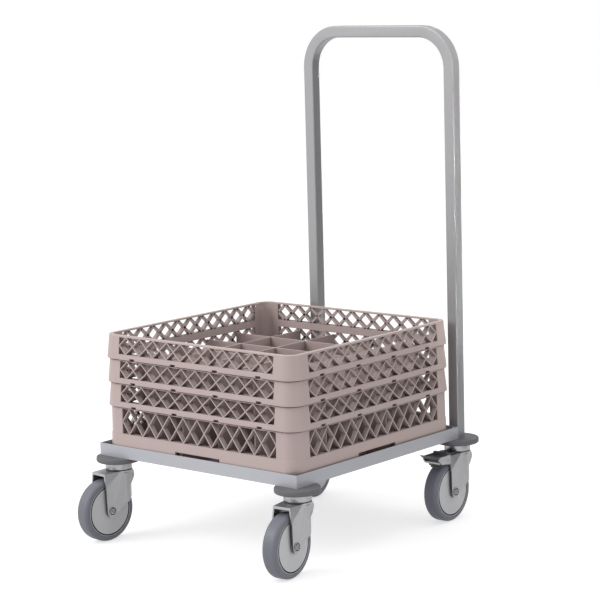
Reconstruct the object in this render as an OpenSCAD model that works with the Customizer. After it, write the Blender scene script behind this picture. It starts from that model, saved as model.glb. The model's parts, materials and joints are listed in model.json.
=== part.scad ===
// Dish rack dolly: a stainless tray on four swivel castors with bumper discs, a push handle
// behind it, and a stack of one base rack and three extenders in the tray.
// Origin: middle of the whole dolly's footprint, on the floor. X runs across the handle,
// -Y is the front, +Y is the handle side and Z is up. All sizes are in mm.

/* [Tray] */
// Spare width inside the tray, beside the rack
tray_room_w = 17; // [6:0.5:60]
// Spare depth inside the tray, behind the rack
tray_room_d = 13; // [2:0.5:60]
// Height of the raised rim, floor included
tray_rim = 25; // [16:1:60]
// Height of the tray's underside above the floor
tray_z = 167; // [164:1:200]
// Sheet thickness of the tray
tray_t = 1.5; // [1:0.1:1.9]
// Radius of the tray's upright edges
tray_edge_r = 2; // [1.6:0.1:6]

/* [Handle] */
// Side of the square handle tube
tube = 24; // [22:1:30]
// Wall of the handle tube
tube_wall = 1.5; // [1:0.1:2.5]
// Outer corner radius of the handle tube
tube_corner_r = 2.5; // [1:0.1:4]
// Outer width of the handle, measured from the tray's right side
handle_w = 388.5; // [300:0.5:500]
// Height of the handle's top above the floor
handle_top = 1009; // [700:1:1100]
// Bend radius of the handle at the tube's centre line
bend_r = 74; // [40:1:120]

/* [Castors] */
// Wheel diameter
wheel_d = 125; // [118:1:127]
// Tyre width
tyre_w = 32; // [28:1:34]
// Rounding of the tyre's shoulders
tyre_shoulder = 6; // [3:1:9]
// Distance from the swivel axis to the wheel's centre
trail = 40; // [36:1:41]
// Diameter of the bumper disc
bumper_d = 90; // [70:1:100]
// Thickness of the bumper disc
bumper_t = 11; // [9:1:11]
// Diameter of the swivel head
head_d = 54; // [52:1:58]
// Right front castor's distance from the tray's right side
front_right_inset = 12; // [12:1:60]
// Left front castor's distance from the tray's left side
front_left_inset = 36; // [12:1:60]
// Front castors' distance from the tray's front
front_inset = 16; // [16:1:60]
// Turn of the right front castor's fork from straight ahead
front_right_turn = 6; // [-30:1:30]
// Turn of the left front castor's fork from straight ahead
front_left_turn = -5; // [-30:1:30]
// Turn of the right rear castor's fork from straight ahead
rear_right_turn = 1; // [-30:1:30]
// Turn of the left rear castor's fork from straight ahead
rear_left_turn = 10; // [-30:1:30]

/* [Rack stack] */
// Outer size of the square racks
rack = 500; // [440:1:560]
// Height of the base rack
base_h = 102.5; // [90:0.5:140]
// Height that each extender adds
extender_h = 48.5; // [40:0.5:60]
// Gap between the rack and the tray's right wall
rack_gap_right = 2.9; // [0.3:0.1:6]
// Width of the lattice ribs
rib_w = 3.4; // [2:0.1:5]
// Thickness of the divider strips
divider_t = 3; // [2:0.5:5]
// Height of the divider strips above the base rack's floor
divider_h = 189; // [120:1:193]

/* [Hidden] */
$fn = 48;

// Clearances
seat_gap = 0.3;
run_gap = 0.06;

// Castor sizes
wheel_r = wheel_d / 2;
axle_z = wheel_r;
tyre_t = 10.5;
core_r = wheel_r - tyre_t;
core_half = 13.5;
core_lip = 4;
disc_r = core_r - core_lip;
disc_half = 15.8;
hub_bore_r = 10;
sleeve_r = 6;
axle_r = 4;
axle_nut_across = 13;
axle_head_r = 8.6;
axle_head_t = 2;
axle_nut_t = 6.5;
fork_sheet = 3;
fork_half = 23;
fork_inner = fork_half - fork_sheet;
fork_lip_s = 54;
fork_lip_drop = 5;
fork_boss_r = 12.3;
bearing_half = fork_inner - 0.5;
crown_z = 139.6;
crown_foot_z = 108;
crown_skin = [[24, crown_foot_z], [28.5, 118.5], [30.8, 127], [29.8, 134], [27, crown_z]];
crown_top_t = 3;
nose_half = 19;
crease_low = [fork_lip_s, 111];
crease_top = [20, 138];
wheel_space_half = 17;
wrap_r = 24;
wrap_low = [-24, 92];
wrap_front = 8;
wrap_top = crown_skin[3][1];
leg_heel = [-8, 77];
seal_r = 25.5;
seal_t = 1.8;
race_r = 20;
race_bore_r = 9;
race_t = 6;
stud_r = 6;
stud_z = 126;
king_nut_across = 19;
king_nut_t = 8;
insert_l = 38;
head_r = head_d / 2;
head_z = crown_z + seat_gap + seal_t;
bumper_z = tray_z - bumper_t;
bumper_low_round = 4.5;
bumper_top_round = 2.5;

// Brake sizes, in the fork's own plane: distance from the swivel axis, then height
bracket_half = 21;
bracket_inner = bracket_half - fork_sheet;
pedal_half = bracket_inner - 0.6;
tread_half = 20.5;
cheek_front = 93;
cheek_nose = [cheek_front, 135.5];
cheek_chin = [86, 127.5];
cheek_heel = [fork_lip_s, 122.5];
cheek_top = 142.5;
web_s = 88;
web_h = 3.5;
pivot = [61, 131];
pivot_r = 2.5;
pin_reach = 0.8;
shoe_gap = 2.4;
shoe_t = 2;
shoe_back = 66;
shoe_front = 76;
shoe_half = 14;
hump_back = 29.5;
hump_front = 60;
hump_low = crown_z + 1;
hump_top = 147;
hump_crest = 56.5;
hump_tail = [48.5, 143.2];
pedal_back = fork_lip_s + 1;
pedal_heel = [59, 125];
pedal_low = 120;
pedal_belly = [82, 134];
tread_low = [90.5, 136.3];
tread_lip = [102.6, 144.6];
tread_tip = [103, 146.2];
tread_dip = [80, 140.2];
tread_hip = [62, 141];

// Where the tray stands, so that the origin is the middle of the footprint
function wheel_reach(turn) = trail * cos(turn) + (wheel_r - tyre_shoulder) * cos(turn)
    + (tyre_w / 2 - tyre_shoulder) * abs(sin(turn)) + tyre_shoulder;
tray_w = rack + tray_room_w + 2 * tray_t;
tray_d = rack + tray_room_d + 2 * tray_t;
rear_inset = tube / 2;
upright_left = tray_w / 2 - handle_w + tube / 2;
castor_x = [tray_w / 2 - front_right_inset, front_left_inset - tray_w / 2,
    tray_w / 2 - rear_inset, upright_left];
castor_y = [front_inset - tray_d / 2, front_inset - tray_d / 2,
    tray_d / 2 + rear_inset, tray_d / 2 + rear_inset];
castor_turn = [front_right_turn, front_left_turn, rear_right_turn, rear_left_turn];
front_reach = max(wheel_reach(front_right_turn), wheel_reach(front_left_turn));
reach_left = min(-tray_w / 2, castor_x[1] - bumper_d / 2);
reach_right = max(castor_x[0], castor_x[2]) + bumper_d / 2;
tray_x = -(reach_left + reach_right) / 2;
tray_y = -(castor_y[0] - front_reach + castor_y[2] + bumper_d / 2) / 2;

// Rack sizes
floor_z = tray_z + tray_t;
rack_z = floor_z + seat_gap;
rack_gap_front = 0.4;
rack_x = tray_w / 2 - tray_t - rack_gap_right - rack / 2;
rack_y = tray_t + rack_gap_front + (rack - tray_d) / 2;
corner_r = 30;
wall_depth = 12;
corner_at = rack / 2 - corner_r;
wall_inner = rack / 2 - wall_depth;
inner_r = wall_inner - corner_at;
top_draft = 3;
band_draft = 1.2;
band_step = 0.8;
band_h = 47.5;
band_z = rack_z + band_h;
skirt_out = 2;
skirt_round = 1.4;
skirt_h = 3;
lattice_pitch = 36.8;
corner_post = 46;
lattice_cells = floor((rack - 2 * corner_post) / lattice_pitch);
lattice_half = lattice_cells * lattice_pitch / 2;
lattice_overcut = 5;
window_low = 11.5;
window_top = 3.5;
window_sill = 1;
notch_half = 58.5;
notch_h = 28.5;
notch_z = rack_z + notch_h;
latch_w = 13;
latch_h = 4;
latch_depth = 6;
tab_w = 16;
tab_inset = 30;
tab_at = wall_inner - tab_inset;
tab_t = 3;
tab_h = 4;
rack_floor_t = 4;
floor_hole = 41;
floor_pitch = 47;
floor_holes = floor(2 * wall_inner / floor_pitch);
divider_pitch = 2 * floor_pitch;
dividers_at = [-1.5, -0.5, 0.5, 1.5];
divider_half = wall_inner - seat_gap;
divider_z = rack_z + rack_floor_t;
divider_mid = divider_z + divider_h / 2;
slot_gap = 0.4;
tier_z = [for (i = [0:3]) rack_z + base_h + i * extender_h];

// Tray stiffeners
rail_l = 380;
rail_w = 40;
rail_h = 9;
rail_flange = 12;
rail_y = 110;

// Handle screws
screw_r = 3;
screw_head_r = 5.25;
screw_slope = 1.5;
screw_head_t = 3;
screw_reach = 5.5;
screw_low = 6.5;
screw_high = 18.5;

// Colours
steel = [0.72, 0.73, 0.74];
zinc = [0.66, 0.67, 0.68];
rubber = [0.30, 0.30, 0.31];
tyre_grey = [0.43, 0.44, 0.48];
core_grey = [0.74, 0.75, 0.75];
pedal_grey = [0.22, 0.21, 0.21];
beige = [0.75, 0.69, 0.67];

// Castor numbers
front_right = 0;
front_left = 1;
rear_right = 2;
rear_left = 3;

module in_tray() {
    translate([tray_x, tray_y, 0]) children();
}

// Own frame of a castor: Z is its swivel axis and X points from there to the wheel
module at_castor(which) {
    in_tray() translate([castor_x[which], castor_y[which], 0])
        rotate([0, 0, castor_turn[which] - 90]) children();
}

module at_castors(which = [0:3]) {
    for (i = which) at_castor(i) children();
}

module in_rack() {
    in_tray() translate([rack_x, rack_y, 0]) children();
}

module ring(r, bore, z, h) {
    translate([0, 0, z]) difference() {
        cylinder(r = r, h = h);
        translate([0, 0, -1]) cylinder(r = bore, h = h + 2);
    }
}

// Square with round corners, centred
module round_square(size, r) {
    side = size / 2 - r;
    square([size, 2 * side], center = true);
    square([2 * side, size], center = true);
    for (x = [-side, side], y = [-side, side]) translate([x, y]) circle(r);
}

module round_plate(w, d, r, h) {
    linear_extrude(h) {
        square([w, d - 2 * r], center = true);
        square([w - 2 * r, d], center = true);
        for (x = [r - w / 2, w / 2 - r], y = [r - d / 2, d / 2 - r]) translate([x, y]) circle(r);
    }
}

// Screw places on the uprights: the handle's tube centres and the two heights
module at_screws() {
    for (x = [castor_x[rear_right], upright_left], z = [screw_low, screw_high])
        in_tray() translate([x, tray_d / 2, tray_z + z]) rotate([-90, 0, 0]) children();
}

module tray_pan() color(steel) difference() {
    in_tray() translate([0, 0, tray_z]) difference() {
        round_plate(tray_w, tray_d, tray_edge_r, tray_rim);
        translate([0, 0, tray_t])
            round_plate(tray_w - 2 * tray_t, tray_d - 2 * tray_t, tray_edge_r - tray_t, tray_rim);
    }
    at_screws() translate([0, 0, -tray_t - 1]) cylinder(r = screw_r, h = tray_t + 2);
}

// Two folded channels under the floor
module tray_stiffeners() color(steel) in_tray() for (y = [-rail_y, rail_y]) {
    translate([0, y, tray_z - rail_h]) difference() {
        translate([-rail_l / 2, -rail_w / 2, 0]) cube([rail_l, rail_w, rail_h]);
        translate([-rail_l / 2 - 1, tray_t - rail_w / 2, tray_t])
            cube([rail_l + 2, rail_w - 2 * tray_t, rail_h]);
    }
    for (side = [-1, 1])
        translate([-rail_l / 2, y + side * (rail_w + rail_flange) / 2 - rail_flange / 2
            - side * tray_t, tray_z - tray_t])
            cube([rail_l, rail_flange, tray_t]);
}

module tube_section() difference() {
    round_square(tube, tube_corner_r);
    square(tube - 2 * tube_wall, center = true);
}

module handle_tube() color(steel) difference() {
    in_tray() for (part = [0:4]) handle_length(part);
    at_screws() translate([0, 0, -1]) cylinder(r = screw_r, h = tube_wall + 2);
}

// The handle's five lengths: two uprights, two bends and the bar
module handle_length(part) {
    right_x = castor_x[rear_right];
    bend_z = handle_top - tube / 2 - bend_r;
    translate([0, tray_d / 2 + tube / 2, 0]) {
        if (part < 2)
            translate([part == 0 ? right_x : upright_left, 0, tray_z])
                linear_extrude(bend_z - tray_z) tube_section();
        if (part == 2)
            translate([right_x - bend_r, 0, bend_z]) rotate([90, 0, 0])
                rotate_extrude(angle = 90) translate([bend_r, 0]) tube_section();
        if (part == 3)
            translate([upright_left + bend_r, 0, bend_z]) rotate([90, 0, 0]) rotate([0, 0, 90])
                rotate_extrude(angle = 90) translate([bend_r, 0]) tube_section();
        if (part == 4)
            translate([upright_left + bend_r, 0, bend_z + bend_r]) rotate([90, 0, 90])
                linear_extrude(right_x - upright_left - 2 * bend_r) tube_section();
    }
}

// Steel plugs in the uprights' lower ends, threaded for the castors and the screws
module tube_inserts() color(zinc) difference() {
    side = tube - 2 * tube_wall;
    at_upright_feet() translate([-side / 2, -side / 2, tray_z]) cube([side, side, insert_l]);
    at_upright_feet() translate([0, 0, tray_z - 1]) cylinder(r = stud_r, h = insert_l + 2);
    at_screws() cylinder(r = screw_r, h = screw_reach);
}

module at_upright_feet() {
    for (x = [castor_x[rear_right], upright_left])
        in_tray() translate([x, castor_y[rear_right], 0]) children();
}

module handle_screws() color(zinc) at_screws() {
    translate([0, 0, -tray_t]) cylinder(r = screw_r, h = tray_t + screw_reach);
    translate([0, 0, -tray_t - screw_head_t])
        cylinder(r1 = screw_head_r - screw_slope, r2 = screw_head_r, h = screw_head_t);
}

module front_studs() color(zinc) at_castors([front_right, front_left])
    translate([0, 0, stud_z]) cylinder(r = stud_r, h = tray_z - stud_z);

module rear_studs() color(zinc) at_castors([rear_right, rear_left])
    translate([0, 0, stud_z]) cylinder(r = stud_r, h = tray_z + insert_l - stud_z);

module king_nuts() color(zinc) at_castors()
    translate([0, 0, crown_z - fork_sheet - seat_gap - king_nut_t])
        hex_nut(king_nut_across, king_nut_t, stud_r);

module hex_nut(across, h, bore) difference() {
    cylinder(d = across / cos(30), h = h, $fn = 6);
    translate([0, 0, -1]) cylinder(r = bore, h = h + 2);
}

module bumper_discs() color(rubber) at_castors() translate([0, 0, bumper_z])
    rotate_extrude() {
        low_r = bumper_d / 2 - bumper_low_round;
        top_r = bumper_d / 2 - bumper_top_round;
        translate([stud_r, 0]) square([low_r - stud_r, bumper_t]);
        translate([low_r - 1, bumper_low_round])
            square([bumper_low_round + 1, bumper_t - bumper_low_round - bumper_top_round]);
        translate([low_r - 1, bumper_t - bumper_top_round - 1])
            square([top_r - low_r + 1, bumper_top_round + 1]);
        translate([low_r, bumper_low_round]) circle(bumper_low_round);
        translate([top_r, bumper_t - bumper_top_round]) circle(bumper_top_round);
    }

// Turned steel heads with a recess for the ball race below
module swivel_heads() color(zinc) at_castors() difference() {
    ring(head_r, stud_r, head_z, bumper_z - head_z);
    translate([0, 0, head_z - 1]) cylinder(r = race_r, h = race_t - seal_t + 1);
}

module ball_races() color(zinc) at_castors()
    ring(race_r, race_bore_r, crown_z + seat_gap, race_t);

module dust_seals() color(rubber) at_castors()
    ring(seal_r, race_r, crown_z + seat_gap, seal_t);

// Point where a line from p touches the fork's axle boss, on the side chosen
function boss_touch(p, side) = let (
    away = p - [trail, axle_z],
    turn = atan2(away[1], away[0]) + side * acos(fork_boss_r / norm(away))
) [trail, axle_z] + fork_boss_r * [cos(turn), sin(turn)];

module leg_outline() {
    polygon([[leg_heel[0], crease_low[1]], leg_heel, boss_touch(leg_heel, 1), [trail, axle_z],
        boss_touch(crease_low, -1), crease_low]);
    translate([trail, axle_z]) circle(fork_boss_r);
}

// Turns an outline of distance and height into a plate across the fork
module fork_plate(from, to) {
    translate([0, to, 0]) rotate([90, 0, 0]) linear_extrude(to - from) children();
}

// The crown turned solid, moved inwards by a wall
module crown(wall) rotate_extrude() polygon(concat([[0, crown_foot_z - wall],
    [crown_skin[0][0] - wall, crown_foot_z - wall]],
    [for (p = crown_skin) [p[0] - wall, min(p[1], crown_z - wall)]], [[0, crown_z - wall]]));

// Bar along the fork between its legs, moved inwards by a wall
module leg_room(from, to, wall, low, high) {
    translate([from, wall - fork_half, low]) cube([to - from, 2 * (fork_half - wall), high - low]);
}

// The flat side of the nose slopes in above a crease that runs up from the leg to the head
nose_slope = cross([crease_top[0] - crease_low[0], 0, crease_top[1] - crease_low[1]],
    [0, nose_half - fork_half, crown_z - crease_low[1]]);
module nose_sides(wall) for (side = [0, 1]) mirror([0, side, 0])
    translate([crease_low[0], fork_half, crease_low[1]])
        rotate([atan2(nose_slope[2], norm([nose_slope[0], nose_slope[1]])), 0,
            -atan2(nose_slope[0], nose_slope[1])])
            translate([-crown_z, -wall, -crown_z]) cube([2 * crown_z, crown_z, 2 * crown_z]);

// The round crown with flat sides and the nose in front of it, moved inwards by a wall
module fork_top(wall) difference() {
    union() {
        intersection() {
            crown(wall);
            leg_room(-crown_z, crown_z, wall, 0, crown_z);
        }
        leg_room(0, fork_lip_s - wall, wall, crown_foot_z - wall, crown_z - wall);
    }
    nose_sides(wall);
}

// The crown's round back carried on down behind the legs, and a little proud of them
module leg_wrap() intersection() {
    ring(wrap_r, wrap_r - fork_sheet, leg_heel[1], wrap_top - leg_heel[1]);
    fork_plate(-wrap_r, wrap_r) polygon([[wrap_front, leg_heel[1]], leg_heel, wrap_low,
        [wrap_low[0], wrap_top], [wrap_front, wrap_top]]);
}

// Pressed fork: crown, nose with a turned-down lip, and two legs
module fork() color(zinc) difference() {
    union() {
        fork_top(0);
        translate([0, 0, crown_z - crown_top_t])
            cylinder(r = crown_skin[4][0], h = crown_top_t);
        fork_plate(-fork_half, -fork_inner) leg_outline();
        fork_plate(fork_inner, fork_half) leg_outline();
        leg_wrap();
    }
    fork_top(fork_sheet);
    difference() {
        leg_room(fork_lip_s - fork_sheet - 1, fork_lip_s + 1, fork_sheet,
            crown_foot_z - 1, crown_z - fork_lip_drop);
        nose_sides(fork_sheet);
    }
    translate([-wrap_r - 1, -wheel_space_half, leg_heel[1] - 1])
        cube([2 * wrap_r, 2 * wheel_space_half, crown_foot_z - leg_heel[1] + 1]);
    translate([0, 0, crown_z - 2 * fork_sheet])
        cylinder(r = stud_r + run_gap, h = 3 * fork_sheet);
    axle_tilt() translate([0, 0, -fork_half - 1]) cylinder(r = axle_r, h = 2 * fork_half + 2);
}

module axle_bolt() color(zinc) axle_tilt() {
    translate([0, 0, -fork_half - axle_nut_t]) cylinder(r = axle_r, h = 2 * fork_half + axle_nut_t);
    translate([0, 0, fork_half]) cylinder(r = axle_head_r, h = axle_head_t);
}

// Turns Z into the axle's direction, from the wheel's middle
module axle_tilt() {
    translate([trail, 0, axle_z]) rotate([-90, 0, 0]) children();
}

module axle_nut() color(zinc) axle_tilt() translate([0, 0, -fork_half - axle_nut_t])
    hex_nut(axle_nut_across, axle_nut_t, axle_r);

module axle_sleeve() color(zinc) axle_tilt()
    ring(sleeve_r, axle_r, -fork_inner, 2 * fork_inner);

module hub_bearing() color(zinc) axle_tilt()
    ring(hub_bore_r, sleeve_r + run_gap, -bearing_half, 2 * bearing_half);

module wheel_core() color(core_grey) axle_tilt() difference() {
    union() {
        translate([0, 0, -core_half]) cylinder(r = core_r, h = 2 * core_half);
        translate([0, 0, -disc_half]) cylinder(r = disc_r, h = 2 * disc_half);
    }
    translate([0, 0, -disc_half - 1]) cylinder(r = hub_bore_r, h = 2 * disc_half + 2);
}

module tyre() color(tyre_grey) axle_tilt() rotate_extrude() intersection() {
    edge_r = wheel_r - tyre_shoulder;
    flat = tyre_w / 2 - tyre_shoulder;
    union() {
        translate([core_r, -tyre_w / 2]) square([edge_r - core_r, tyre_w]);
        translate([edge_r - 1, -flat]) square([tyre_shoulder + 1, 2 * flat]);
        for (y = [-flat, flat]) translate([edge_r, y]) circle(tyre_shoulder);
    }
    translate([core_r, -tyre_w / 2]) square([wheel_r - core_r, tyre_w]);
}

// Two cheeks in front of the fork's nose, joined by a web in front of the tyre
module brake_bracket() color(zinc) difference() {
    union() {
        for (from = [-bracket_half, bracket_inner]) fork_plate(from, from + fork_sheet)
            polygon([cheek_heel, [fork_lip_s, cheek_top], [cheek_front, cheek_top],
                cheek_nose, cheek_chin]);
        fork_plate(-bracket_inner, bracket_inner)
            translate([web_s - fork_sheet, cheek_chin[1]]) square([fork_sheet, web_h]);
    }
    pivot_hole(pivot_r, bracket_half + 1);
}

// Round bar or hole across the fork at the pedal's pivot
module pivot_hole(r, reach) {
    translate([pivot[0], 0, pivot[1]]) rotate([90, 0, 0])
        cylinder(r = r, h = 2 * reach, center = true);
}

module brake_pin() color(zinc) pivot_hole(pivot_r, bracket_half + pin_reach);

// Foot pedal: a hump over the crown, a plate between the cheeks and a wider tread in front
module brake_pedal() color(pedal_grey) difference() {
    union() {
        fork_plate(-pedal_half, pedal_half)
            polygon([[hump_back, hump_low], [pedal_back, hump_low], [pedal_back, pivot[1]],
                pedal_heel, [shoe_back, pedal_heel[1]], [shoe_front, pedal_low], pedal_belly,
                tread_low, tread_lip, tread_tip, tread_dip, tread_hip, [hump_front, hump_top],
                [hump_crest, hump_top], hump_tail, [hump_back, hump_tail[1]]]);
        fork_plate(-tread_half, tread_half) intersection() {
            polygon([pedal_belly, tread_low, tread_lip, tread_tip, tread_dip]);
            translate([cheek_front + 1, pedal_low]) square(cheek_front);
        }
    }
    fork_plate(-pedal_half - 1, pedal_half + 1) shoe_sector(wheel_r + shoe_gap + shoe_t);
    pivot_hole(pivot_r + run_gap, pedal_half + 1);
}

// The part of a disc around the wheel's centre that lies over the shoe's length
module shoe_sector(r) intersection() {
    translate([trail, axle_z]) circle(r);
    translate([shoe_back, axle_z]) square([shoe_front - shoe_back, r]);
}

// Curved steel shoe under the pedal, following the tyre
module brake_shoe() color(zinc) fork_plate(-shoe_half, shoe_half) difference() {
    shoe_sector(wheel_r + shoe_gap + shoe_t);
    translate([trail, axle_z]) circle(wheel_r + shoe_gap);
}

// One straight side and one corner of a rack wall, from its outline of distance and height
module rack_ring(outline) {
    for (i = [0:3]) rotate([0, 0, 90 * i]) {
        translate([corner_at, corner_at, 0]) rotate_extrude(angle = 90) polygon(outline);
        translate([corner_at, corner_at, 0]) rotate([90, 0, 0])
            linear_extrude(2 * corner_at) polygon(outline);
    }
}

// Everything of a rack side that isn't rib, as a cutter through the wall
module lattice_cut(z, h) {
    reach = norm([lattice_pitch, h]) + 2 * rib_w;
    lean = atan2(h, lattice_pitch);
    for (i = [0:3]) rotate([0, 0, 90 * i]) translate([0, 0, z]) rotate([90, 0, 0])
        translate([0, 0, wall_inner - lattice_overcut])
        linear_extrude(wall_depth + 2 * lattice_overcut) difference() {
            translate([-lattice_half, 0]) square([2 * lattice_half, h]);
            for (k = [0:lattice_cells], side = [-1, 1])
                translate([k * lattice_pitch - lattice_half, h / 2]) rotate(side * lean)
                    square([reach, rib_w], center = true);
        }
}

// Stacked against the tray's front rim; a hand notch at the foot of each side
module base_rack() color(beige) in_rack() {
    top = tier_z[0];
    difference() {
        rack_ring([[inner_r, rack_z], [corner_r, rack_z], [corner_r - band_draft, band_z],
            [corner_r - band_draft - band_step, band_z], [corner_r - top_draft, top],
            [inner_r, top]]);
        lattice_cut(band_z + window_sill, top - window_top - band_z - window_sill);
        for (i = [0, 90]) rotate([0, 0, i])
            translate([-notch_half, -rack, rack_z - 1])
                cube([2 * notch_half, 2 * rack, notch_z - rack_z + 1]);
    }
    translate([0, 0, rack_z]) linear_extrude(rack_floor_t) difference() {
        square(2 * wall_inner, center = true);
        for (x = [0:floor_holes - 1], y = [0:floor_holes - 1])
            translate(floor_pitch * ([x, y] - [1, 1] * (floor_holes - 1) / 2))
                square(floor_hole, center = true);
    }
}

// Extender ring with a flared skirt, four latch notches a side and locating tabs inside
module extender(tier) color(beige) in_rack() {
    low = tier_z[tier - 1];
    top = tier_z[tier];
    difference() {
        rack_ring([[inner_r, low], [corner_r + skirt_out - skirt_round, low],
            [corner_r + skirt_out, low + skirt_h], [corner_r - top_draft, top], [inner_r, top]]);
        lattice_cut(low + window_low, top - low - window_low - window_top);
        for (i = [0:3], k = [-4.5, -1.5, 1.5, 4.5]) rotate([0, 0, 90 * i])
            translate([k * lattice_pitch - latch_w / 2, rack / 2 + skirt_out - latch_depth,
                low - 1])
                cube([latch_w, latch_depth + 1, latch_h + 1]);
    }
    for (i = [0:3], side = [-1, 1]) rotate([0, 0, 90 * i])
        translate([side * tab_at - tab_w / 2, wall_inner - seat_gap - tab_t, low - tab_h])
            cube([tab_w, tab_t, tab_h]);
    for (i = [0:3], side = [-1, 1]) rotate([0, 0, 90 * i])
        translate([side * tab_at - tab_w / 2, wall_inner - seat_gap - tab_t, low])
            cube([tab_w, tab_t + seat_gap + 1, tab_h]);
}

// Strips along X, slotted from above to take the strips that cross them
module dividers_long() color(beige) in_rack() for (y = dividers_at) difference() {
    translate([-divider_half, y * divider_pitch - divider_t / 2, divider_z])
        cube([2 * divider_half, divider_t, divider_h]);
    for (x = dividers_at)
        translate([x * divider_pitch - (divider_t + slot_gap) / 2,
            y * divider_pitch - divider_t, divider_mid])
            cube([divider_t + slot_gap, 2 * divider_t, divider_h]);
}

module dividers_cross() color(beige) in_rack() for (x = dividers_at) difference() {
    translate([x * divider_pitch - divider_t / 2, -divider_half, divider_z])
        cube([divider_t, 2 * divider_half, divider_h]);
    for (y = dividers_at)
        translate([x * divider_pitch - divider_t,
            y * divider_pitch - (divider_t + slot_gap) / 2, divider_z - 1])
            cube([2 * divider_t, divider_t + slot_gap, divider_h / 2 + 1]);
}

module fork_front_right() { at_castor(front_right) fork(); }
module axle_bolt_front_right() { at_castor(front_right) axle_bolt(); }
module axle_nut_front_right() { at_castor(front_right) axle_nut(); }
module axle_sleeve_front_right() { at_castor(front_right) axle_sleeve(); }
module hub_bearing_front_right() { at_castor(front_right) hub_bearing(); }
module wheel_core_front_right() { at_castor(front_right) wheel_core(); }
module tyre_front_right() { at_castor(front_right) tyre(); }
module fork_front_left() { at_castor(front_left) fork(); }
module axle_bolt_front_left() { at_castor(front_left) axle_bolt(); }
module axle_nut_front_left() { at_castor(front_left) axle_nut(); }
module axle_sleeve_front_left() { at_castor(front_left) axle_sleeve(); }
module hub_bearing_front_left() { at_castor(front_left) hub_bearing(); }
module wheel_core_front_left() { at_castor(front_left) wheel_core(); }
module tyre_front_left() { at_castor(front_left) tyre(); }
module fork_rear_right() { at_castor(rear_right) fork(); }
module axle_bolt_rear_right() { at_castor(rear_right) axle_bolt(); }
module axle_nut_rear_right() { at_castor(rear_right) axle_nut(); }
module axle_sleeve_rear_right() { at_castor(rear_right) axle_sleeve(); }
module hub_bearing_rear_right() { at_castor(rear_right) hub_bearing(); }
module wheel_core_rear_right() { at_castor(rear_right) wheel_core(); }
module tyre_rear_right() { at_castor(rear_right) tyre(); }
module brake_bracket_rear_right() { at_castor(rear_right) brake_bracket(); }
module brake_pin_rear_right() { at_castor(rear_right) brake_pin(); }
module brake_pedal_rear_right() { at_castor(rear_right) brake_pedal(); }
module brake_shoe_rear_right() { at_castor(rear_right) brake_shoe(); }
module fork_rear_left() { at_castor(rear_left) fork(); }
module axle_bolt_rear_left() { at_castor(rear_left) axle_bolt(); }
module axle_nut_rear_left() { at_castor(rear_left) axle_nut(); }
module axle_sleeve_rear_left() { at_castor(rear_left) axle_sleeve(); }
module hub_bearing_rear_left() { at_castor(rear_left) hub_bearing(); }
module wheel_core_rear_left() { at_castor(rear_left) wheel_core(); }
module tyre_rear_left() { at_castor(rear_left) tyre(); }
module brake_bracket_rear_left() { at_castor(rear_left) brake_bracket(); }
module brake_pin_rear_left() { at_castor(rear_left) brake_pin(); }
module brake_pedal_rear_left() { at_castor(rear_left) brake_pedal(); }
module brake_shoe_rear_left() { at_castor(rear_left) brake_shoe(); }
module extender_1() { extender(1); }
module extender_2() { extender(2); }
module extender_3() { extender(3); }

tray_pan();
tray_stiffeners();
handle_tube();
tube_inserts();
handle_screws();
front_studs();
rear_studs();
king_nuts();
bumper_discs();
swivel_heads();
ball_races();
dust_seals();
fork_front_right();
axle_bolt_front_right();
axle_nut_front_right();
axle_sleeve_front_right();
hub_bearing_front_right();
wheel_core_front_right();
tyre_front_right();
fork_front_left();
axle_bolt_front_left();
axle_nut_front_left();
axle_sleeve_front_left();
hub_bearing_front_left();
wheel_core_front_left();
tyre_front_left();
fork_rear_right();
axle_bolt_rear_right();
axle_nut_rear_right();
axle_sleeve_rear_right();
hub_bearing_rear_right();
wheel_core_rear_right();
tyre_rear_right();
brake_bracket_rear_right();
brake_pin_rear_right();
brake_pedal_rear_right();
brake_shoe_rear_right();
fork_rear_left();
axle_bolt_rear_left();
axle_nut_rear_left();
axle_sleeve_rear_left();
hub_bearing_rear_left();
wheel_core_rear_left();
tyre_rear_left();
brake_bracket_rear_left();
brake_pin_rear_left();
brake_pedal_rear_left();
brake_shoe_rear_left();
base_rack();
dividers_long();
dividers_cross();
extender_1();
extender_2();
extender_3();
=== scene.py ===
"""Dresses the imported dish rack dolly: finished pieces, materials, light and the camera."""

import json
import math

import bmesh
import bpy
from mathutils import Matrix, Vector

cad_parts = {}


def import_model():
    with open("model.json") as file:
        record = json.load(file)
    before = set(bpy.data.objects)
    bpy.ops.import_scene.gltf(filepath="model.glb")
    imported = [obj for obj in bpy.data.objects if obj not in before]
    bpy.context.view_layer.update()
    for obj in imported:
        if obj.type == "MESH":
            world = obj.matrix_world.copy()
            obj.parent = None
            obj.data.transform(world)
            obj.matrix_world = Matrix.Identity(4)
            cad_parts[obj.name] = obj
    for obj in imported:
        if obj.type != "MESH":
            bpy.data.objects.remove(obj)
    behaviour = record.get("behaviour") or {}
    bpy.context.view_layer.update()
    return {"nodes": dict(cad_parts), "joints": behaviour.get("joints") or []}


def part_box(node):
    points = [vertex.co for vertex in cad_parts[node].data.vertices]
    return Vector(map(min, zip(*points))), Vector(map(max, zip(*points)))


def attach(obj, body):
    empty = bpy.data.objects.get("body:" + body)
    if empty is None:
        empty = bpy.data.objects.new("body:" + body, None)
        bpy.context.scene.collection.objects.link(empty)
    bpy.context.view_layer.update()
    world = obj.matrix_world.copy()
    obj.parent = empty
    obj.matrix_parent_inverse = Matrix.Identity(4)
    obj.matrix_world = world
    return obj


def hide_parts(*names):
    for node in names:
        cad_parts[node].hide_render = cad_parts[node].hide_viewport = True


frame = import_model()

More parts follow.
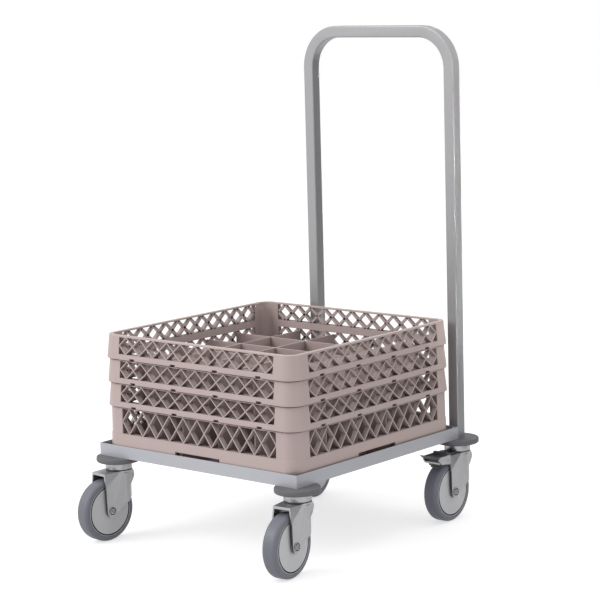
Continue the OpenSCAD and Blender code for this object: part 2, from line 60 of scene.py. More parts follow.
NODES = frame["nodes"]
CASTORS = ("front_right", "front_left", "rear_right", "rear_left")
BRAKED = CASTORS[2:]
EXTENDERS = ("extender_1", "extender_2", "extender_3")
JOINTS = {joint["name"]: joint for joint in frame["joints"]}
MM = 0.001


# ---------------------------------------------------------------- node materials

# Sizes of the noise in colour, gloss and surface: a higher number is finer
PLASTIC_CLOUDS = 9
PLASTIC_GLOSS = 40
PLASTIC_GRAIN = 900
METAL_CLOUDS = 5
METAL_STROKES = 60
METAL_SPREAD = 0.04
PLASTIC_GLOSS_SPREAD = 0.06
STROKE_GLOSS_DOWN, STROKE_GLOSS_UP = 0.07, 0.09
STROKE_DEPTH, STROKE_STRENGTH = 0.00004, 0.35
# Painted shade in hollows: share of open sky up to which a hollow is darkest, and from which it isn't
# darkened
HOLLOW_DARK, HOLLOW_LIGHT = 0.15, 0.85


class Shader:
    """A short way to write one node material: add nodes, link them, and set the shader's sockets."""

    def __init__(self, name):
        self.material = bpy.data.materials.new(name)
        self.material.use_nodes = True
        self.tree = self.material.node_tree
        self.tree.nodes.clear()
        self.output = self.add("ShaderNodeOutputMaterial")
        self.surface = self.add("ShaderNodeBsdfPrincipled")
        self.link(self.surface.outputs["BSDF"], self.output.inputs["Surface"])
        self.place = self.add("ShaderNodeTexCoord").outputs["Object"]

    def add(self, kind, **settings):
        node = self.tree.nodes.new(kind)
        for key, value in settings.items():
            if key in node.inputs:
                node.inputs[key].default_value = value
            else:
                setattr(node, key, value)
        return node

    def link(self, source, target):
        self.tree.links.new(source, target)

    def set(self, **sockets):
        for key, value in sockets.items():
            self.surface.inputs[key].default_value = value

    def stretched(self, x, y, z):
        """The place on the piece, scaled along each axis."""
        mapping = self.add("ShaderNodeMapping")
        mapping.inputs["Scale"].default_value = (x, y, z)
        self.link(self.place, mapping.inputs["Vector"])
        return mapping.outputs["Vector"]

    def noise(self, scale, detail=2.0, vector=None):
        node = self.add("ShaderNodeTexNoise", Scale=scale, Detail=detail)
        self.link(vector or self.place, node.inputs["Vector"])
        return node.outputs["Fac"]

    def ramp(self, value, low, high, start=0.3, end=0.7):
        """low where value is at start, and high where it is at end."""
        node = self.add("ShaderNodeMapRange")
        for key, number in (("From Min", start), ("From Max", end), ("To Min", low), ("To Max", high)):
            node.inputs[key].default_value = number
        self.link(value, node.inputs["Value"])
        return node.outputs["Result"]

    def blend(self, value, first, second):
        """A colour between two, by value from 0 to 1."""
        node = self.add("ShaderNodeMix", data_type="RGBA")
        node.inputs["A"].default_value = (*first, 1)
        node.inputs["B"].default_value = (*second, 1)
        self.link(value, node.inputs["Factor"])
        return node.outputs["Result"]

    def painted_hollow_shade(self, base, reach, depth):
        """base made darker by painted shade, down to depth, in hollows narrower than reach in metres."""
        hollow = self.add("ShaderNodeAmbientOcclusion", samples=8, Distance=reach)
        node = self.add("ShaderNodeMix", data_type="RGBA", blend_type="MULTIPLY")
        node.inputs["Factor"].default_value = 1
        self.link(base, node.inputs["A"])
        shade = self.ramp(hollow.outputs["AO"], depth, 1, HOLLOW_DARK, HOLLOW_LIGHT)
        self.link(shade, node.inputs["B"])
        return node.outputs["Result"]

    def colour(self, source):
        self.link(source, self.surface.inputs["Base Color"])

    def roughness(self, source):
        self.link(source, self.surface.inputs["Roughness"])

    def bump(self, height, distance, strength=0.5):
        node = self.add("ShaderNodeBump", Strength=strength, Distance=distance)
        self.link(height, node.inputs["Height"])
        self.link(node.outputs["Normal"], self.surface.inputs["Normal"])


def shades(colour, spread):
    """A colour a little darker and a little lighter."""
    return [c * (1 - spread) for c in colour], [min(1, c * (1 + spread)) for c in colour]


def plastic(name, colour, roughness, grain, spread, hollow_shade=None):
    """Plastic or rubber with a fine grain, which is its depth in metres, and faint clouds of colour. The
    last argument, where given, is painted shade in its hollows: its reach in metres and the factor of
    the darkest hollow.
    """
    shader = Shader(name)
    base = shader.blend(shader.noise(PLASTIC_CLOUDS, 4), *shades(colour, spread))
    # painted shade in hollows, where the last argument is given
    if hollow_shade:
        base = shader.painted_hollow_shade(base, *hollow_shade)
    shader.colour(base)
    shader.roughness(shader.ramp(shader.noise(PLASTIC_GLOSS, 3), roughness - PLASTIC_GLOSS_SPREAD,
                                 roughness + PLASTIC_GLOSS_SPREAD))
    shader.bump(shader.noise(PLASTIC_GRAIN, 2), grain)
    return shader.material


def metal(name, colour, roughness, brushed=(1, 1, 1), metallic=1.0, hollow_shade=None):
    """Metal with fine strokes, which run along the axis where brushed is smallest. The last argument,
    where given, is painted shade in its hollows: its reach in metres and the factor of the darkest
    hollow.
    """
    shader = Shader(name)
    shader.set(Metallic=metallic)
    strokes = shader.noise(METAL_STROKES, 4, shader.stretched(*brushed))
    base = shader.blend(shader.noise(METAL_CLOUDS, 3), *shades(colour, METAL_SPREAD))
    # painted shade in hollows, where the last argument is given
    if hollow_shade:
        base = shader.painted_hollow_shade(base, *hollow_shade)
    shader.colour(base)
    shader.roughness(shader.ramp(strokes, roughness - STROKE_GLOSS_DOWN, roughness + STROKE_GLOSS_UP))
    shader.bump(strokes, STROKE_DEPTH, STROKE_STRENGTH)
    return shader.material


STEEL_X = metal("brushed_steel_along_x", (0.475, 0.48, 0.515), 0.45, (0.4, 14, 14), 0.3)
STEEL_Z = metal("brushed_steel_along_z", (0.362, 0.362, 0.372), 0.45, (14, 14, 0.4), 0.6)
# Its last pair is painted shade in hollows: reach in metres and the factor of the darkest hollow
ZINC = metal("zinc_plate", (0.40, 0.40, 0.41), 0.36, (3, 3, 3), 0.9, (0.006, 0.35))
# A dark copy of the zinc plate: painted shade, for the fork legs' front edges and the brake shoe
SHADED = metal("zinc_in_shade", (0.1, 0.1, 0.104), 0.5, metallic=0.7)
BRIGHT = metal("bright_turned_steel", (0.36, 0.36, 0.37), 0.3, (2, 2, 20))
BUMPER = plastic("bumper_rubber", (0.142, 0.142, 0.152), 0.62, 0.00008, 0.06)
# Near black for the wheel and bolt grooves: painted shade in their recesses
GROOVE_SHADE = plastic("groove_painted_shade", (0.03, 0.03, 0.032), 0.7, 0.00005, 0.1)
TYRE = plastic("tyre_rubber", (0.175, 0.18, 0.215), 0.5, 0.0001, 0.05)
# Its last pair is painted shade in hollows, which darkens the disc near the fork leg
CORE = plastic("wheel_plastic", (0.60, 0.60, 0.615), 0.35, 0.00005, 0.02, (0.01, 0.3))
PEDAL = plastic("pedal_plastic", (0.08, 0.075, 0.078), 0.5, 0.0001, 0.1)
# Its last pair is painted shade in hollows, seams and between the ribs
BEIGE = plastic("rack_plastic", (0.53, 0.425, 0.405), 0.48, 0.00005, 0.02, (0.08, 0.3))


# ---------------------------------------------------------------- mesh helpers

# Angles in degrees: edges sharper than this are bevelled, and faces flatter than this are merged
BEVEL_ANGLE = 40
FLAT_ANGLE = 0.6
SAME_POINT = 2e-6
# A rounded corner takes up at most this share of the edge beside it
CORNER_SHARE = 0.49


def make(name, build, material, sharp_angle=35):
    """One smooth mesh object with its sharp edges kept: build fills the bmesh, in metres."""
    bm = bmesh.new()
    build(bm)
    bmesh.ops.recalc_face_normals(bm, faces=bm.faces)
    mesh = bpy.data.meshes.new(name)
    bm.to_mesh(mesh)
    bm.free()
    mesh.materials.append(material)
    for face in mesh.polygons:
        face.use_smooth = True
    mesh.set_sharp_from_angle(angle=math.radians(sharp_angle))
    piece = bpy.data.objects.new(name, mesh)
    bpy.context.scene.collection.objects.link(piece)
    return piece


def soften(piece, width, segments):
    bevel = piece.modifiers.new("soft edges", "BEVEL")
    bevel.width = width
    bevel.segments = segments
    bevel.limit_method = "ANGLE"
    bevel.angle_limit = math.radians(BEVEL_ANGLE)
    bevel.harden_normals = True
    bevel.use_clamp_overlap = True


def stand_for(piece, body, slot, *nodes):
    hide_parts(*nodes)
    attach(piece, body)
    return piece


def dress(node, body, material, slot, width=0.0005, segments=2):
    """A soft-edged copy of a CAD node, which it stands for."""
    def copy(bm):
        bm.from_mesh(NODES[node].data)
        bmesh.ops.remove_doubles(bm, verts=bm.verts, dist=SAME_POINT)
        bmesh.ops.dissolve_limit(bm, angle_limit=math.radians(FLAT_ANGLE), verts=bm.verts,
                                 edges=bm.edges)
    piece = make("look_" + node, copy, material)
    soften(piece, width, segments)
    return stand_for(piece, body, slot, node)


def loft(bm, rings, closed=False):
    """Joins rings of points, each a closed loop, into one skin: with end caps, or closed on itself."""
    loops = [[bm.verts.new(point) for point in ring] for ring in rings]
    pairs = list(zip(loops, loops[1:]))
    if closed:
        pairs.append((loops[-1], loops[0]))
    for first, second in pairs:
        for i in range(len(first)):
            j = (i + 1) % len(first)
            bm.faces.new((first[i], first[j], second[j], second[i]))
    if not closed:
        bm.faces.new(loops[0])
        bm.faces.new(list(reversed(loops[-1])))


def lathe(bm, profile, steps, place):
    """Turns a closed profile of (radius, height) around Z, then puts it in place."""
    rings = []
    for k in range(steps):
        turn = 2 * math.pi * k / steps
        rings.append([place @ Vector((r * math.cos(turn), r * math.sin(turn), z)) for r, z in profile])
    loft(bm, rings, closed=True)


def rounded(points, radii, steps=4):
    """A closed outline with its corners rounded, each by its own radius."""
    out = []
    count = len(points)
    for i, (point, r) in enumerate(zip(points, radii)):
        here = Vector(point)
        before = Vector(points[i - 1]) - here
        after = Vector(points[(i + 1) % count]) - here
        if r <= 0:
            out.append(tuple(here))
            continue
        half = before.angle(after) / 2
        reach = min(r / math.tan(half), before.length * CORNER_SHARE, after.length * CORNER_SHARE)
        start = here + before.normalized() * reach
        end = here + after.normalized() * reach
        for k in range(steps + 1):
            t = k / steps
            out.append(tuple((1 - t) ** 2 * start + 2 * t * (1 - t) * here + t * t * end))
    return out


# ---------------------------------------------------------------- castors

# Turned profiles in mm: the radius, then the distance along the axis. On a wheel or bolt that is
# from the wheel's middle, and on a disc or head it is the height over the floor
SHOULDER_R, SHOULDER_AT, SHOULDER_STEPS = 8, (54.5, 8), 10
TYRE_LIP = [(52, 14.6), (52.4, 15.6)]
GROOVE_IN, GROOVE_OUT, GROOVE_BOTTOM = 48, 50.4, 10
CORE_SIDE = [(52, 14.8), (51.8, 15.5), (50.8, 15.7), (50.5, 15.2), (GROOVE_OUT, GROOVE_BOTTOM),
             (GROOVE_IN, GROOVE_BOTTOM), (47.9, 15.3), (47.3, 15.8), (20, 15.2), (18, 15.8),
             (10.2, 15.8)]
DISC = [(6, 156), (45, 156), (44.4, 167), (6, 167)]
DISC_ROUNDS = [0, 5, 2.2, 0]
HEAD = [(6, 145.9), (20, 145.9), (20, 141.7), (27, 141.7), (27, 153.4), (26, 156), (6, 156)]
HEAD_ROUNDS = [0, 0, 0.3, 1.2, 1.4, 0.4, 0]
BOLT = [(0.01, -29.5), (4, -29.5), (4, 23), (8.6, 23), (8.6, 24.4), (8.3, 24.8), (7.7, 24.8),
        (7.4, 23.4), (6.0, 23.4), (5.6, 24.8), (5, 25), (3.4, 25), (3.0, 23.6), (1.7, 23.6),
        (1.4, 24.8), (0.01, 25)]
# The bolt's ring of painted shade: its two radii, and how far from the wheel's middle it starts
BOLT_RING = (5.7, 7.65, 23.2)
# Heights between which a fork leg's front edge is painted with shade, and how much a face there looks
# forward
LEG_EDGE = (50, 118)
LOOKS_FORWARD = 0.6
WHEEL_STEPS, DISC_STEPS, BOLT_STEPS = 128, 96, 64


def castor_place(name):
    """A frame with Z on the swivel axis and X towards the wheel; the trail; and the axle's height."""
    axis = Vector(JOINTS["swivel_" + name]["pos_m"])
    wheel = Vector(JOINTS["roll_" + name]["pos_m"])
    away = (wheel - axis).to_2d().normalized()
    place = Matrix.Translation((axis.x, axis.y, 0)) @ Matrix.Rotation(math.atan2(away.y, away.x), 4, "Z")
    return place, (wheel - axis).to_2d().length, wheel.z


def scaled(points):
    """Points in mm as points in metres."""
    return [(a * MM, b * MM) for a, b in points]


def axle_place(name):
    """The wheel's own frame: Z lies along its axle, from its middle."""
    place, trail, height = castor_place(name)
    return place @ Matrix.Translation((trail, 0, height)) @ Matrix.Rotation(-math.pi / 2, 4, "X")


def paint(piece, material, chosen):
    """Gives the chosen faces a second material."""
    piece.data.materials.append(material)
    for face in piece.data.polygons:
        if chosen(face):
            face.material_index = 1


def paint_ring(piece, axle, inner, outer, from_z, material):
    """Paints the faces of a turned piece between two radii and farther out than from_z."""
    inward = axle.inverted()

    def chosen(face):
        at = inward @ face.center
        return inner * MM < at.to_2d().length < outer * MM and abs(at.z) > from_z * MM
    paint(piece, material, chosen)


def paint_edges(piece, name, low, high, material):
    """Paints the sheet edges that face the wheel between two heights: the dark zinc there is painted
    shade.
    """
    inward = castor_place(name)[0].inverted()
    turn = inward.to_3x3()

    def chosen(face):
        return ((turn @ face.normal).x > LOOKS_FORWARD
                and low * MM < (inward @ face.center).z < high * MM)
    paint(piece, material, chosen)


def both_sides(half):
    """A closed profile from its upper half."""
    return scaled(half + [(r, -z) for r, z in reversed(half)])


def wheel_pieces(name):
    """A tyre with round shoulders, and a core with a ring groove in each side whose faces get painted
    shade.
    """
    axle = axle_place(name)
    shoulder = [(SHOULDER_AT[0] + SHOULDER_R * math.sin(a), SHOULDER_AT[1] + SHOULDER_R * math.cos(a))
                for a in (math.pi / 2 * k / SHOULDER_STEPS for k in range(SHOULDER_STEPS + 1))]
    tyre = both_sides(list(reversed(TYRE_LIP + shoulder)))
    core = both_sides(CORE_SIDE)
    body = "wheel_" + name
    piece = make("look_tyre_" + name, lambda bm: lathe(bm, tyre, WHEEL_STEPS, axle), TYRE)
    stand_for(piece, body, "tyre_rubber", "tyre_" + name)
    piece = make("look_wheel_core_" + name, lambda bm: lathe(bm, core, WHEEL_STEPS, axle), CORE)
    paint_ring(piece, axle, GROOVE_IN - 0.08, GROOVE_OUT + 0.08, GROOVE_BOTTOM - 1, GROOVE_SHADE)
    stand_for(piece, body, "wheel_plastic", "wheel_core_" + name)
    NODES["hub_bearing_" + name].data.materials[0] = BRIGHT


def on_each_castor(stem, profile, material, slot):
    """One turned form on all four swivel axes, as one piece fixed to the frame."""
    def build(bm):
        for name in CASTORS:
            lathe(bm, profile, DISC_STEPS, castor_place(name)[0])
    stand_for(make("look_" + stem, build, material), "frame", slot, stem)


def head_pieces():
    """The discs, heads and seals of all four castors."""
    on_each_castor("bumper_discs", scaled(rounded(DISC, DISC_ROUNDS, steps=6)), BUMPER, "bumper_rubber")
    on_each_castor("swivel_heads", scaled(rounded(HEAD, HEAD_ROUNDS)), BRIGHT, "zinc_plated_steel")
    NODES["dust_seals"].data.materials[0] = BUMPER


def axle_bolt(name):
    """A low flanged head with a groove round its middle whose faces get painted shade, on the shaft
    through the wheel.
    """
    axle = axle_place(name)
    piece = make("look_axle_bolt_" + name, lambda bm: lathe(bm, scaled(BOLT), BOLT_STEPS, axle), ZINC)
    paint_ring(piece, axle, *BOLT_RING, GROOVE_SHADE)
    stand_for(piece, "swivel_" + name, "zinc_plated_steel", "axle_bolt_" + name)


def castor_metal(name):
    """The fork with its bolt, nut and sleeve, and the brake where the castor has one."""
    body = "swivel_" + name
    fork = dress("fork_" + name, body, ZINC, "zinc_plated_steel", 0.0012, 3)
    # the legs' front edges get the dark zinc copy: painted shade
    paint_edges(fork, name, *LEG_EDGE, SHADED)
    axle_bolt(name)
    dress("axle_nut_" + name, body, ZINC, "zinc_plated_steel")
    NODES["axle_sleeve_" + name].data.materials[0] = ZINC
    if name in BRAKED:
        dress("brake_bracket_" + name, body, ZINC, "zinc_plated_steel", 0.0006)
        dress("brake_pin_" + name, body, BRIGHT, "zinc_plated_steel")
        dress("brake_pedal_" + name, "pedal_" + name, PEDAL, "pedal_plastic", 0.0008, 3)
        # the brake shoe takes the dark zinc copy: painted shade
        dress("brake_shoe_" + name, "pedal_" + name, SHADED, "zinc_plated_steel", 0.0004)


# ---------------------------------------------------------------- racks

RACK_LOW, RACK_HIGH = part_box("base_rack")
RACK_X, RACK_Y = (RACK_LOW.x + RACK_HIGH.x) / 2, (RACK_LOW.y + RACK_HIGH.y) / 2
RACK_HALF = (RACK_HIGH.x - RACK_LOW.x) / 2
# Radii of the outer and the inner face at a corner, from the corner's own centre
CORNER_R = 30 * MM
INNER_R = 18 * MM
CORNER_AT = RACK_HALF - CORNER_R
CORNER_STEPS = 10
PITCH = 36.8 * MM
CELLS = 11
WINDOW_HALF = CELLS * PITCH / 2
# A rib's width at its face and its back, the depth of its chamfers and the share that stays flat
RIB_FACE = 2.9 * MM
RIB_BACK = 5.2 * MM
RIB_CHAMFER = 1.2 * MM
RIB_FLAT = 0.7
# How far a rib reaches each way, as a share of its cell, and how far it lies behind the wall's faces
RIB_REACH = 0.56
RECESS = 0.35 * MM
# The dark gap under each upper tier
SEAM = 1.6 * MM
SEAM_DEPTH = 4 * MM
TOP_RAIL = 3.5 * MM
# Base rack: the plain band at its foot, the set-back over it, and the hand notch
BAND_HEIGHT = 47.5 * MM
BAND_LEAN = 1.2 * MM
BAND_STEP = 2 * MM
WINDOW_SILL = 1 * MM
WALL_LEAN = 1 * MM
NOTCH_HEIGHT = 28.5 * MM
NOTCH_HALF = 58.5 * MM
# Floor grid
GRID_PITCH, GRID_RIB, GRID_LINES = 47 * MM, 6 * MM, 11
GRID_LOW, GRID_HIGH = 0.1 * MM, 3.9 * MM
# Extenders: how far they reach down into the tier below, the skirt at their foot and its latches
SPIGOT = 4 * MM
SKIRT_OUT = 2 * MM
SKIRT_HEIGHT = 3 * MM
SKIRT_LEAN = 5 * MM
EXTENDER_SILL = 11.5 * MM
LATCH_HALF = 6.5 * MM
LATCH_DEPTH = 10 * MM
LATCH_SHOULDER = 4.2 * MM
LATCHES_AT = (-4.5, -1.5, 1.5, 4.5)


def side_station(y):
    """A station on side 0, which faces +X: a point on the corner square and the way out."""
    return Vector((CORNER_AT, y)), Vector((1, 0))


def corner_stations():
    return [(Vector((CORNER_AT, CORNER_AT)), Vector((math.cos(a), math.sin(a))))
            for a in (math.pi / 2 * k / CORNER_STEPS for k in range(CORNER_STEPS + 1))]


def spun(stations, quarter):
    """The stations turned by quarter turns."""
    turn = Matrix.Rotation(quarter * math.pi / 2, 2)
    return [(turn @ c, turn @ n) for c, n in stations]


def section(station, profile):
    """A profile of (distance out, height) as points in the scene."""
    centre, out = station
    return [Vector((RACK_X + centre.x + out.x * r, RACK_Y + centre.y + out.y * r, z))
            for r, z in profile]


def band(bm, plain, notched=None, notches=()):
    """A closed band round the rack; between each pair of notches' ends it has the other profile."""
    rings = []
    for quarter in range(4):
        rings += [section(s, plain) for s in spun([side_station(-CORNER_AT)], quarter)]
        for start, end in notches:
            for y, profile in ((start, plain), (start, notched), (end, notched), (end, plain)):
                rings += [section(s, profile) for s in spun([side_station(y)], quarter)]
        rings += [section(s, plain) for s in spun(corner_stations(), quarter)]
    loft(bm, rings, closed=True)


def column(bm, profile):
    """A solid corner between two windows."""
    for quarter in range(4):
        before = spun([side_station(WINDOW_HALF)], quarter)
        corner = spun(corner_stations(), quarter)
        after = spun([(Vector((WINDOW_HALF, CORNER_AT)), Vector((0, 1)))], quarter)
        loft(bm, [section(s, profile) for s in before + corner + after])


def ribs(bm, low, high, face_low, face_high):
    """The crossed ribs of a window on each side, from height low to high, behind a leaning face."""
    height = high - low
    lean = math.atan2(height, PITCH)
    across = Vector((math.sin(lean), math.cos(lean)))
    for quarter in range(4):
        for k in range(CELLS + 1):
            for way in (1, -1):
                middle = k * PITCH - WINDOW_HALF
                rings = []
                for t in (-RIB_REACH, RIB_REACH):
                    y, z = middle + way * t * PITCH, (low + high) / 2 + t * height
                    face = face_low + (face_high - face_low) * (z - low) / height - RECESS
                    ring = []
                    for offset, r in ((-RIB_BACK, INNER_R + RECESS), (-RIB_FACE, face - RIB_CHAMFER),
                                      (-RIB_FACE * RIB_FLAT, face), (RIB_FACE * RIB_FLAT, face),
                                      (RIB_FACE, face - RIB_CHAMFER), (RIB_BACK, INNER_R + RECESS)):
                        dy, dz = across * offset / 2
                        station = spun([side_station(y - way * dy)], quarter)[0]
                        ring += section(station, [(r, z + dz)])
                    rings.append(ring)
                loft(bm, rings)


def rack_tier(node, window, top, outline, band_profile, notched, notches, seam=True):
    """One tier: outline gives its outer face at a height, and seam leaves the gap under the next one."""
    def build(bm):
        window_low, window_high = window
        band(bm, band_profile, notched, notches)
        rim = top - SEAM if seam else top
        upper = [(INNER_R, window_high), (outline(window_high), window_high), (outline(rim), rim)]
        if seam:
            inside = outline(top) - SEAM_DEPTH
            upper = rounded(upper + [(inside, rim), (inside, top), (INNER_R, top)],
                            [0, 0, 0.5 * MM, 0, 0, 0])
        else:
            upper = rounded(upper + [(INNER_R, top)], [0, 0, 1.1 * MM, 0.8 * MM])
        band(bm, upper)
        column(bm, [(INNER_R, window_low), (outline(window_low), window_low),
                    (outline(window_high), window_high), (INNER_R, window_high)])
        ribs(bm, window_low, window_high, outline(window_low), outline(window_high))
    return make("look_" + node, build, BEIGE, sharp_angle=30)


def base_rack():
    """The lowest tier: a plain band with hand notches, and a set-back wall with the windows."""
    low, top = RACK_LOW.z, RACK_HIGH.z
    step = low + BAND_HEIGHT
    window = (step + WINDOW_SILL, top - TOP_RAIL)
    notch = low + NOTCH_HEIGHT

    def outline(z):
        if z < step:
            return CORNER_R - BAND_LEAN * (z - low) / (step - low)
        return CORNER_R - BAND_STEP - WALL_LEAN * (z - step) / (top - step)

    def wall(foot):
        return rounded([(INNER_R, foot), (outline(foot), foot), (outline(step - 1e-6), step),
                        (outline(step), step + 0.4 * MM), (outline(window[0]), window[0]),
                        (INNER_R, window[0])], [0, 1.2 * MM, 0.4 * MM, 0.2 * MM, 0, 0])
    piece = rack_tier("base_rack", window, top, outline, wall(low), wall(notch),
                      [(-NOTCH_HALF, NOTCH_HALF)])
    stand_for(piece, "rack_stack", "rack_plastic", "base_rack")


def rack_floor():
    """The open grid under the compartments."""
    inner = CORNER_AT + INNER_R

    def build(bm):
        for k in range(GRID_LINES):
            at = (k - GRID_LINES // 2) * GRID_PITCH
            start, end = max(at - GRID_RIB / 2, -inner), min(at + GRID_RIB / 2, inner)
            for x0, x1, y0, y1 in ((start, end, -inner, inner), (-inner, inner, start, end)):
                outline = [(x0, y0), (x1, y0), (x1, y1), (x0, y1)]
                loft(bm, [[Vector((RACK_X + x, RACK_Y + y, RACK_LOW.z + z)) for x, y in outline]
                          for z in (GRID_LOW, GRID_HIGH)])
    piece = make("look_rack_floor", build, BEIGE)
    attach(piece, "rack_stack")


def extender(node):
    """An upper tier, which widens towards its skirt; latch notches cut the skirt."""
    box_low, box_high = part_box(node)
    low, top = box_low.z + SPIGOT, box_high.z
    skirt_top = low + SKIRT_HEIGHT
    window = (low + EXTENDER_SILL, top - TOP_RAIL)

    def outline(z):
        if z < skirt_top:
            return CORNER_R + SKIRT_OUT
        return CORNER_R + SKIRT_OUT - SKIRT_LEAN * (z - skirt_top) / (top - skirt_top)

    def wall(cut):
        shoulder = skirt_top if cut == 0 else low + LATCH_SHOULDER
        foot = outline(low) - cut
        return rounded([(INNER_R, low), (foot, low), (foot, shoulder), (outline(shoulder), shoulder),
                        (outline(window[0]), window[0]), (INNER_R, window[0])],
                       [0, 1.8 * MM if cut == 0 else 0.01 * MM, 0, 0, 0, 0])
    notches = [(k * PITCH - LATCH_HALF, k * PITCH + LATCH_HALF) for k in LATCHES_AT]
    piece = rack_tier(node, window, top, outline, wall(0), wall(LATCH_DEPTH), notches,
                      node != EXTENDERS[-1])
    stand_for(piece, "rack_stack", "rack_plastic", node)


# ---------------------------------------------------------------- floor, light and camera

SOFT_LIGHT = 0.6
FLOOR_HALF = 14
FLOOR_GLOW = 0.6
FLOOR_SHADES = (0.60, 0.60, 0.60), (0.63, 0.63, 0.63)
CARD_SHADES = (0.22, 0.22, 0.22), (0.25, 0.25, 0.25)
# The card's two foot points, its foot and its top
CARD_ENDS, CARD_LOW, CARD_HIGH = ((1.05, 0.1), (0.45, 2.2)), 0.01, 1.3
# Name, place, target, width and height in metres, and power in watts
LAMPS = (("key", (-2.2, -3.4, 3.2), (0, 0, 0.4), (2.6, 2.6), 105),
         ("top", (0.4, 0.4, 4.2), (0, 0, 0.3), (3, 3), 38),
         ("right_fill", (3.6, 0.4, 0.9), (0, 0, 0.35), (2.2, 1.6), 10))
# A narrow beam from the right along the handle, just behind the racks
BEAM_X, BEAM_Z, BEAM_BACK = 3.4, 0.75, 30 * MM
BEAM_SIZE, BEAM_POWER, BEAM_SPREAD = (0.1, 0.8), 0.36, math.radians(5)


def seen_rays(tree):
    """1 for camera, glossy and transmission rays."""
    path = tree.nodes.new("ShaderNodeLightPath")
    seen = path.outputs["Is Camera Ray"]
    for ray in ("Is Glossy Ray", "Is Transmission Ray"):
        either = tree.nodes.new("ShaderNodeMath")
        either.operation = "MAXIMUM"
        tree.links.new(seen, either.inputs[0])
        tree.links.new(path.outputs[ray], either.inputs[1])
        seen = either.outputs["Value"]
    return seen


def world():
    """White where it is seen, and a soft even light otherwise."""
    studio_world = bpy.data.worlds.new("studio")
    bpy.context.scene.world = studio_world
    studio_world.use_nodes = True
    tree = studio_world.node_tree
    tree.nodes.clear()
    soft = tree.nodes.new("ShaderNodeBackground")
    soft.inputs["Color"].default_value = (1, 1, 1, 1)
    soft.inputs["Strength"].default_value = SOFT_LIGHT
    white = tree.nodes.new("ShaderNodeBackground")
    white.inputs["Color"].default_value = (1, 1, 1, 1)
    mix = tree.nodes.new("ShaderNodeMixShader")
    output = tree.nodes.new("ShaderNodeOutputWorld")
    tree.links.new(seen_rays(tree), mix.inputs["Fac"])
    tree.links.new(soft.outputs["Background"], mix.inputs[1])
    tree.links.new(white.outputs["Background"], mix.inputs[2])
    tree.links.new(mix.outputs["Shader"], output.inputs["Surface"])


def flat_quad(name, corners, material):
    def build(bm):
        bm.faces.new([bm.verts.new(corner) for corner in corners])
    quad = make(name, build, material)
    return quad


def floor():
    """A pale floor that glows a little where it is seen, so that only the dolly's shadow shows."""
    shader = Shader("pale_floor")
    shader.set(Roughness=0.9)
    shader.colour(shader.blend(shader.noise(0.6, 2), *FLOOR_SHADES))
    glow = shader.add("ShaderNodeEmission", Strength=FLOOR_GLOW)
    both = shader.add("ShaderNodeAddShader")
    mix = shader.add("ShaderNodeMixShader")
    shader.link(shader.surface.outputs["BSDF"], both.inputs[0])
    shader.link(glow.outputs["Emission"], both.inputs[1])
    shader.link(seen_rays(shader.tree), mix.inputs["Fac"])
    shader.link(shader.surface.outputs["BSDF"], mix.inputs[1])
    shader.link(both.outputs["Shader"], mix.inputs[2])
    shader.link(mix.outputs["Shader"], shader.output.inputs["Surface"])
    h = FLOOR_HALF
    flat_quad("floor", [(-h, -h, 0), (h, -h, 0), (h, h, 0), (-h, h, 0)], shader.material)


def side_card():
    """A grey card out of view that the dolly's right side mirrors, as in a photo studio."""
    shader = Shader("grey_card")
    shader.set(Roughness=1.0)
    shader.colour(shader.blend(shader.noise(1.0), *CARD_SHADES))
    near, far = CARD_ENDS
    card = flat_quad("side_card", [(*near, CARD_LOW), (*far, CARD_LOW), (*far, CARD_HIGH),
                                   (*near, CARD_HIGH)], shader.material)
    card.visible_camera = False
    card.visible_diffuse = False
    card.visible_shadow = False


def lamp(name, location, target, size, power, spread=math.pi):
    """A rectangular lamp aimed at a target; spread is the angle of its beam."""
    data = bpy.data.lights.new(name, "AREA")
    data.shape = "RECTANGLE"
    data.size, data.size_y = size
    data.energy = power
    data.spread = spread
    light = bpy.data.objects.new(name, data)
    light.location = location
    light.rotation_euler = (Vector(target) - Vector(location)).to_track_quat("-Z", "Y").to_euler()
    bpy.context.scene.collection.objects.link(light)


# The photograph's camera, from a fit to the tray, rack, handle and castors; angles in degrees
CAMERA_AZIMUTH = 40.19
CAMERA_ELEVATION = 8.76
CAMERA_ROLL = -1.53
CAMERA_DISTANCE = 4.2747
CAMERA_TARGET = (0.01873, 0.05255, 0.46664)
FOCAL_PIXELS = 2114.28
FRAME_PIXELS = 600
SENSOR = 36


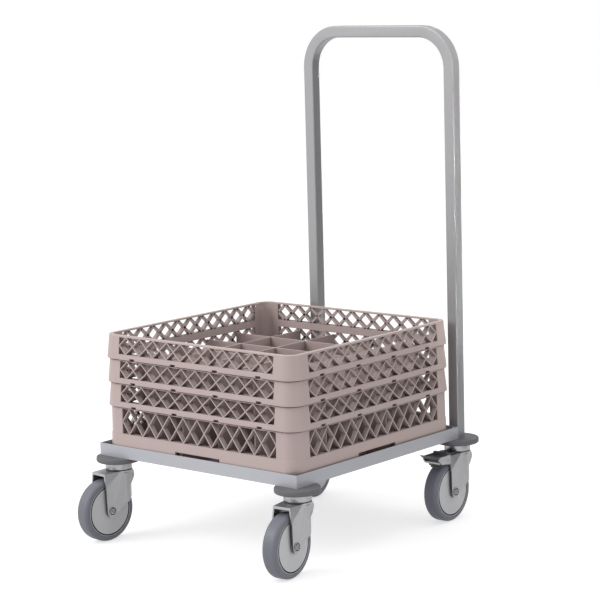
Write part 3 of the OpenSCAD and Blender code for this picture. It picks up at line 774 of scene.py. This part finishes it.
def camera():
    """Puts the camera at its distance from the target, and rolls it about its own axis."""
    azimuth, elevation, roll = (math.radians(v) for v in (CAMERA_AZIMUTH, CAMERA_ELEVATION, CAMERA_ROLL))
    back = Vector((math.sin(azimuth) * math.cos(elevation), -math.cos(azimuth) * math.cos(elevation),
                   math.sin(elevation)))
    right = Vector((math.cos(azimuth), math.sin(azimuth), 0))
    up = back.cross(right)
    turned_right = right * math.cos(roll) + up * math.sin(roll)
    turned_up = up * math.cos(roll) - right * math.sin(roll)
    data = bpy.data.cameras.new("photo_camera")
    data.sensor_width = SENSOR
    data.sensor_fit = "HORIZONTAL"
    data.lens = FOCAL_PIXELS * SENSOR / FRAME_PIXELS
    data.clip_end = 100
    camera_object = bpy.data.objects.new("photo_camera", data)
    place = Matrix((turned_right, turned_up, back)).transposed().to_4x4()
    place.translation = Vector(CAMERA_TARGET) + back * CAMERA_DISTANCE
    camera_object.matrix_world = place
    bpy.context.scene.collection.objects.link(camera_object)
    bpy.context.scene.camera = camera_object


def studio():
    world()
    floor()
    side_card()
    for settings in LAMPS:
        lamp(*settings)
    handle_low, handle_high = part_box("handle_tube")
    beam_y = (handle_low.y + handle_high.y) / 2 + BEAM_BACK
    lamp("handle_strip", (BEAM_X, beam_y, BEAM_Z), (0, beam_y, BEAM_Z), BEAM_SIZE, BEAM_POWER,
         BEAM_SPREAD)
    bpy.context.scene.view_settings.view_transform = "Standard"
    camera()


# ---------------------------------------------------------------- the dolly

def frame_pieces():
    dress("tray_pan", "frame", STEEL_X, "stainless_steel", 0.0007)
    dress("tray_stiffeners", "frame", STEEL_X, "stainless_steel")
    dress("handle_tube", "frame", STEEL_Z, "stainless_steel", 0.0003)
    dress("handle_screws", "frame", ZINC, "zinc_plated_steel", 0.0004)
    for node in ("tube_inserts", "front_studs", "rear_studs", "king_nuts", "ball_races"):
        NODES[node].data.materials[0] = ZINC
    head_pieces()


def rack_pieces():
    base_rack()
    rack_floor()
    for node in EXTENDERS:
        extender(node)
    for node in ("dividers_long", "dividers_cross"):
        dress(node, "rack_stack", BEIGE, "rack_plastic", 0.0004)


frame_pieces()
rack_pieces()
for castor in CASTORS:
    wheel_pieces(castor)
    castor_metal(castor)
studio()
